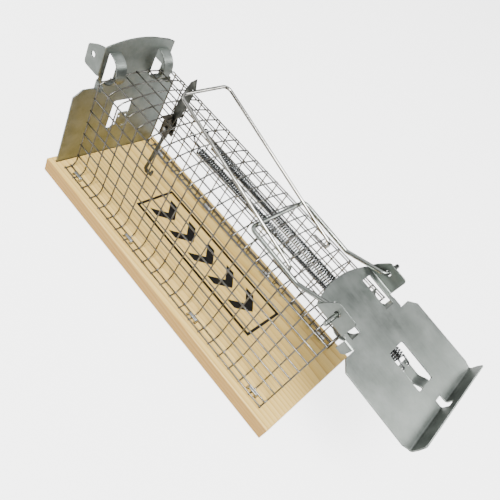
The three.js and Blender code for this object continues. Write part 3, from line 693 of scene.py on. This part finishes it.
def thicken(obj):
    """Merges meeting points, turns faces the same way, adds thickness and eased edges."""
    work = bmesh.new()
    work.from_mesh(obj.data)
    bmesh.ops.remove_doubles(work, verts=work.verts, dist=0.03 * MM)
    bmesh.ops.recalc_face_normals(work, faces=work.faces)
    work.to_mesh(obj.data)
    work.free()
    thick = obj.modifiers.new("thickness", "SOLIDIFY")
    thick.thickness = SHEET * MM
    thick.offset = 0
    ease_edges(obj, 0.1, 50, harden=False)
    flats = obj.modifiers.new("flats_stay_flat", "WEIGHTED_NORMAL")
    flats.weight = 100


DOOR_UP = np.array([-math.cos(DOOR_TILT), 0, math.sin(DOOR_TILT)])
DOOR_OUT = np.array([math.sin(DOOR_TILT), 0, math.cos(DOOR_TILT)])
DOOR_ORIGIN = JOINT["door_swing"] + DOOR_OUT * HINGE_OFFSET - DOOR_UP * HINGE_V
stamped_plate("door_stamping", True, DOOR_ORIGIN, DOOR_UP, DOOR_OUT, "door", "door_plate")
REAR_FOLD_RISE = 5
rear_origin = np.array([box_mm("rear_plate")[0][0] + EAR_REACH, 0, BOARD_TOP + REAR_FOLD_RISE])
stamped_plate("rear_stamping", False, rear_origin, np.array([0, 0, 1.0]),
              np.array([-1.0, 0, 0]), "base", "rear_plate")


# %% [markdown]
# The closing wire is the thicker one: its ends are pins in the door's ears, and its crossbar
# lies on the roof. The setting bail is a thinner, brighter wire: each leg ends in a hook
# round a roof wire, and its rear bar sits in the lever's notch.

# %% Closing wire and setting bail
FRAME_WIRE = 1.8
FRAME_Y = HALF_WIDTH - 4.2
FRAME_PIN_END = NECK + 7.6
FRAME_BEND_XZ = (44.0, 57.2)
FRAME_BAR_XZ = (18.3, 58.8)
BAIL_WIRE = 1.4
BAIL_Y = HALF_WIDTH - 7.9
BAIL_BAR_XZ = (-35.1, 73.1)
HOOK_RADIUS = 1.6
HOOK_FRONT = 1.5  # from the roof wire to the hook's centre


def both_sides(half):
    """A path and its mirror in y, joined at the middle."""
    half = np.asarray(half, float)
    return np.vstack([half, half[::-1] * (1, -1, 1)])


def closing_wire():
    """Pin, bend, and crossbar of one side, mirrored, with rounded corners."""
    x, _, z = JOINT["frame_pivot"]
    places = [(x, FRAME_PIN_END, z), (x, FRAME_Y, z)]
    places += [(bend_x, FRAME_Y, bend_z) for bend_x, bend_z in (FRAME_BEND_XZ, FRAME_BAR_XZ)]
    return wire(rounded(both_sides(places), 2.6, 12), FRAME_WIRE, 16)


def setting_bail():
    """A tail, half a circle round the roof wire, and a leg to the rear bar, mirrored."""
    x, _, z = JOINT["bail_swing"]
    a = np.linspace(-np.pi / 2, np.pi / 2, 16)
    hook = np.column_stack([x + HOOK_FRONT + HOOK_RADIUS * np.cos(a), np.full(16, BAIL_Y),
                            z + HOOK_RADIUS * np.sin(a)])
    tail = hook[0] + np.array([[-5.2, 0, 0.05], [-3, 0, 0], [-1.2, 0, 0]])
    bar_x, bar_z = BAIL_BAR_XZ
    bend = [hook[-2], hook[-1], (bar_x, BAIL_Y, bar_z), (bar_x, 0, bar_z)]
    leg = rounded(bend, 3.2, 12)[2:-1]
    return wire(both_sides(np.vstack([tail, hook[:-2], leg])), BAIL_WIRE, 16)


piece("closing_wire", *closing_wire(), FRAME_ZINC, "closing_frame", ("closing_frame",),
      "frame_wire")
piece("setting_bail_wire", *setting_bail(), BAIL_NICKEL, "setting_bail", ("setting_bail",),
      "bright_wire")


# %% [markdown]
# The two springs pull the door shut. Each is wound close from thin wire and here stretched, so
# the turns stand a little apart. A coil is centre + r (cos a, sin a) as the centre moves along
# the axis. The rear end turns up round a roof wire and the front end drops through the tongue.
# Each spring is one piece that rides no body.

# %% Springs
SPRING_WIRE = 0.78
COIL_RADIUS = 1.32
COIL_PITCH = 1.02
COIL_STEPS = 14  # stations in a turn
COIL_REAR = (-23.0, 3.95, 53.9)
COIL_FRONT_U, COIL_FRONT_V = 1.9, 21.4
ANCHOR_CELL = 15
ANCHOR_LOOP = 1.1  # radius of the loop round the roof wire
FRONT_HOOK = ((19.6, -1.0), (18.3, -1.2), (17.8, -1.7), (17.7, -3.2), (18.8, -3.7))  # (v, n)


def on_door(u, v, n):
    """A place given in the open door's own directions."""
    return DOOR_ORIGIN + DOOR_UP * v + DOOR_OUT * n + (0, u, 0)


def coil_spring(sign):
    """The coil's direction, and its wire: rear loop, coil from rear to front, front hook."""
    u = sign * COIL_FRONT_U
    rear = np.array(COIL_REAR) * (1, sign, 1)
    front = on_door(u, COIL_FRONT_V, -TONGUE_DROP)
    turns = round(np.linalg.norm(front - rear) / COIL_PITCH)
    t = np.linspace(0, 1, turns * COIL_STEPS + 1)
    angle = 2 * np.pi * turns * t
    coil = rear + (front - rear) * t[:, None]
    coil[:, 1] += COIL_RADIUS * np.sin(angle) * sign
    coil[:, 2] += COIL_RADIUS * np.cos(angle)
    x = FRONT_X - ANCHOR_CELL * CELL
    z = float(roof_height(COIL_REAR[1])) + 0.85 - ANCHOR_LOOP
    a = np.linspace(-0.6 * np.pi, 0.5 * np.pi, 9)
    loop = np.column_stack([x + ANCHOR_LOOP * np.sin(a), np.full(9, rear[1]),
                            z + ANCHOR_LOOP * np.cos(a)])
    lead = (x + 2.4, rear[1], 55.5)
    hook = [on_door(u, v, n) for v, n in FRONT_HOOK]
    return unit(front - rear), wire(np.vstack([loop, lead, coil, hook]), SPRING_WIRE, 6)


for side, sign in (("near", -1), ("far", 1)):
    along, shape = coil_spring(sign)
    spring = piece(f"extension_spring_{side}", *shape, SPRING_STEEL, None, (f"spring_{side}",),
                   "spring_steel")
    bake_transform(spring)


# %% [markdown]
# Staples are flat galvanised wire bent to a U and driven over a mesh wire. Each is a
# rectangle carried along a rounded U; its legs stay in the board.

# %% Staples
STAPLE_WIDTH, STAPLE_THICKNESS = 1.1, 0.55
STAPLE_INSET = 0.3  # from the CAD staple's box to the strip's middle
STAPLE_CORNER = 0.9


def flat_wire(path, width, thickness):
    """A flat strip along a path in the XZ plane, with its width along Y."""
    along = unit(np.gradient(path, axis=0))
    normal = np.column_stack([-along[:, 2], np.zeros(len(path)), along[:, 0]]) * thickness / 2
    side = np.array([0, width / 2, 0])
    corners = [normal * b + side * a for a, b in ((-1, -1), (1, -1), (1, 1), (-1, 1))]
    points = np.stack([path + c for c in corners], 1).reshape(-1, 3)
    last = 4 * (len(path) - 1)
    caps = [[3, 2, 1, 0], [last, last + 1, last + 2, last + 3]]
    return points, grid_faces(len(path), 4, closed=True) + caps


def driven_staple(name):
    """A rounded U in the box of a CAD staple."""
    low, high = box_mm(name)
    x0, x1, top = low[0] + STAPLE_INSET, high[0] - STAPLE_INSET, high[2] - STAPLE_INSET
    y, foot = (low[1] + high[1]) / 2, low[2]
    path = rounded([(x0, y, foot), (x0, y, top), (x1, y, top), (x1, y, foot)], STAPLE_CORNER, 6)
    shape = flat_wire(path, STAPLE_WIDTH, STAPLE_THICKNESS)
    driven = piece("driven_" + name, *shape, STAPLE_ZINC, "base", (name,), "staple_wire")
    ease_edges(driven, 0.12, 60)


for name in list(frame["nodes"]):
    if name.startswith("staple"):
        driven_staple(name)


# %% [markdown]
# The lever, its bracket and pin are small stampings, and the CAD outline already is their
# shape. A merged copy loses the triangle lines on its flats, and a small bevel rounds its edges.

# %% Lever, bracket and pin
def eased_copy(name, node, material, body, ease):
    """A copy of a CAD node: points merged, flat faces joined, then bevelled."""
    work = bmesh.new()
    work.from_mesh(frame["nodes"][node].data)
    bmesh.ops.remove_doubles(work, verts=work.verts, dist=0.002 * MM)
    bmesh.ops.dissolve_limit(work, angle_limit=math.radians(1), verts=work.verts,
                             edges=work.edges)
    bmesh.ops.recalc_face_normals(work, faces=work.faces)
    mesh = bpy.data.meshes.new(name)
    work.to_mesh(mesh)
    work.free()
    ease_edges(finished(name, mesh, material, body, (node,), True), ease, 35)


eased_copy("bait_lever", "trigger_lever", LEVER_STEEL, "trigger", 0.12)
eased_copy("lever_bracket", "trigger_bracket", BRACKET_STEEL, "base", 0.1)
eased_copy("lever_pin", "trigger_pin", BAIL_NICKEL, "base", 0.1)

# %% [markdown]
# The board carries a printed mark. This one is a plain frame with arrowheads that point to the
# door. Screen printing leaves an even, matt film of ink that sits in the grain, so it is a
# very thin raised layer whose grey wanders a little with the fibres under it.

# %% Printed mark
PRINT_CENTRE = (1.7, 3.4)
PRINT_HALF = (39.5, 11.0)
PRINT_LINE = 1.3
CHEVRON_REACH, CHEVRON_WIDTH, CHEVRON_SLANT = 6.6, 5.0, 0.9
INK = 0.03  # thickness of the film


def print_frame():
    """A closed band between a rectangle and the one inside it."""
    outer = np.array([(-1, -1), (1, -1), (1, 1), (-1, 1)]) * PRINT_HALF
    points = np.vstack([outer, outer - np.sign(outer) * PRINT_LINE])
    return points, [[i, (i + 1) % 4, 4 + (i + 1) % 4, 4 + i] for i in range(4)]


def chevron(x):
    """An arrowhead with its tip towards +X: two slanted bars as one bent band."""
    y = np.array([-CHEVRON_REACH, 0, CHEVRON_REACH])
    lead = np.column_stack([x - np.abs(y) * CHEVRON_SLANT, y])
    return np.vstack([lead, lead - (CHEVRON_WIDTH, 0)]), [[0, 3, 4, 1], [1, 4, 5, 2]]


def board_ink():
    material, tree, shader = new_material("matt_screen_ink")
    fibre = noise(tree, mapped(tree, object_place(tree), Scale=(0.06, 1, 1)), 0.6, 3.0)
    set_inputs(tree, shader, {
        "Base Color": blend_colours(tree, spread(tree, fibre, 0, 1), "#060606", "#1A1713"),
        "Roughness": 0.85, "Specular IOR Level": 0.12})
    return material


marks, mark_faces = joined([print_frame()] + [chevron(x) for x in np.linspace(-24, 32, 5)])
marks = np.column_stack([marks + PRINT_CENTRE, np.full(len(marks), BOARD_TOP + INK)])
piece("printed_arrows", marks, mark_faces, board_ink(), "base", smooth=False)

# %% [markdown]
# The stage is a pale floor under a pale world, one large soft key above, a broad fill and a
# small rim light. The world is darker low down, so that bright metal has something to reflect,
# but the camera itself sees it pale all the way down.

# %% Stage and lights
FLOOR_HALF = 3.0  # metres, as are all places here
FLOOR_DROP = 0.0002
TABLE_GLOW = 3.2  # the camera sees the floor lit from within, which keeps shadows pale
BACKDROP_GLOW = 4.0  # and the world behind it as pale as the floor
TRAP_MIDDLE = np.array([0, 0, 0.03])


def camera_only(tree, strength):
    """A strength that the camera's own rays see and all others don't."""
    seen = add(tree, "ShaderNodeLightPath").outputs["Is Camera Ray"]
    return maths(tree, "MULTIPLY", seen, strength)


def pale_floor():
    """A large square just under the board, in matt paper."""
    corners = [(-1, -1), (1, -1), (1, 1), (-1, 1)]
    mesh = bpy.data.meshes.new("studio_floor")
    mesh.from_pydata([(x * FLOOR_HALF, y * FLOOR_HALF, -FLOOR_DROP) for x, y in corners], [],
                     [[0, 1, 2, 3]])
    material, tree, shader = new_material("matt_white_paper")
    set_inputs(tree, shader, {
        "Base Color": linear("#C0C0BF"), "Roughness": 0.9, "Specular IOR Level": 0.1,
        "Emission Color": linear("#FFFFFF"), "Emission Strength": camera_only(tree, TABLE_GLOW)})
    mesh.materials.append(material)
    return in_scene("studio_floor", mesh)


def soft_light(name, place, size, power):
    """A square area light that faces the trap's middle."""
    data = bpy.data.lights.new(name, "AREA")
    data.size = size
    data.energy = power
    obj = in_scene(name, data)
    obj.location = place
    towards = Vector(TRAP_MIDDLE - np.array(place))
    obj.rotation_euler = towards.to_track_quat("-Z", "Y").to_euler()
    return obj


floor = pale_floor()
lights = [
    soft_light("key_softbox", (0.15, -0.35, 0.75), 0.35, 18.0),
    soft_light("fill_softbox", (-0.7, -0.5, 0.35), 0.4, 2.5),
    soft_light("rim_softbox", (0.45, 0.6, 0.5), 0.3, 3.0),
]

world = bpy.data.worlds.new("studio")
bpy.context.scene.world = world
world.use_nodes = True
sky = world.node_tree
direction = add(sky, "ShaderNodeTexCoord").outputs["Generated"]
height = add(sky, "ShaderNodeSeparateXYZ", {"Vector": direction}).outputs["Z"]
shade = spread(sky, height, 0.06, 1.5, 0.35, 0.8)
set_inputs(sky, sky.nodes["Background"], {
    "Color": linear("#F7F8FA"),
    "Strength": maths(sky, "MAXIMUM", shade, camera_only(sky, BACKDROP_GLOW))})
print("lights", [light.name for light in lights])

# %% [markdown]
# The camera looks down from the near front corner and is rolled, so that the trap stands
# tilted in the frame. Its three directions are given as rows and make its matrix.

# %% Camera
CAMERA_PLACE = np.array([68.90, -152.38, 183.15]) * MM
CAMERA_RIGHT = np.array([0.6427, 0.6354, 0.4281])
CAMERA_DOWN = np.array([0.7288, -0.3346, -0.5974])
LENS_MM = 38.7
SENSOR_MM = 36.0


def place_camera():
    """A camera whose matrix has the right, up and back directions and its place as columns."""
    right = unit(CAMERA_RIGHT)
    up = -unit(CAMERA_DOWN - right * (CAMERA_DOWN @ right))
    matrix = np.eye(4)
    matrix[:3, :3] = np.column_stack([right, up, np.cross(right, up)])
    matrix[:3, 3] = CAMERA_PLACE
    data = bpy.data.cameras.new("product_camera")
    data.lens = LENS_MM
    data.sensor_width = SENSOR_MM
    data.clip_start = 0.005
    camera = in_scene("product_camera", data)
    camera.matrix_world = Matrix(matrix.tolist())
    bpy.context.scene.camera = camera
    print("camera", np.round(CAMERA_PLACE, 3))


place_camera()
